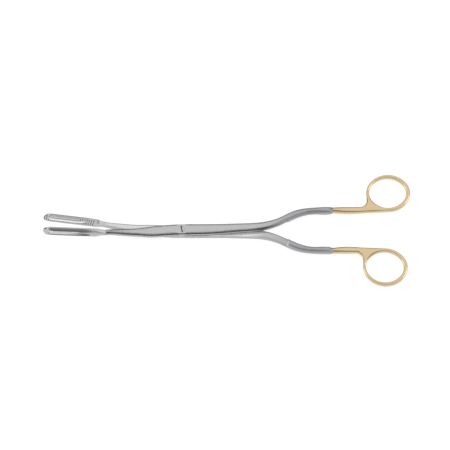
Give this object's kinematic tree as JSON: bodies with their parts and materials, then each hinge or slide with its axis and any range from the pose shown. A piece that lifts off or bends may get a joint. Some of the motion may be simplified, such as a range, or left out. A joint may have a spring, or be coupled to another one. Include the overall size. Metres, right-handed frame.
{
  "type": "ovum and placenta forceps",
  "caption": "Long slender grasping forceps with bent, fenestrated, serrated jaws, lapped shanks on a slotted pivot screw, bowed handles and gold-plated oval finger rings.",
  "frame": {"origin": "on the pivot axis, in the flat underside of the lap, where the screw ends flush", "axes": "+X along the instrument from the jaws to the finger rings, +Y across it towards the front half's ring, +Z along the pivot axis to the slotted screw head, the side that the jaws bend to"},
  "size_m": [0.2805, 0.0932, 0.023],
  "materials": {
    "satin_steel": "satin, fine grain along the shank",
    "gold_plating": "thin satin gold plating on the steel handle",
    "screw_steel": "turned, ground flush"
  },
  "bodies": {
    "rear_half": {"rear_jaw": "satin_steel", "rear_shank": "satin_steel", "rear_ring_handle": "gold_plating", "pivot_screw": "screw_steel"},
    "front_half": {"front_jaw": "satin_steel", "front_shank": "satin_steel", "front_ring_handle": "gold_plating"}
  },
  "joints": [
    {"name": "pivot", "type": "hinge", "parent": "rear_half", "child": "front_half", "pos_m": [0, 0, 0.004], "axis": [0, 0, 1], "range_deg": [-4.9, 35]}
  ]
}
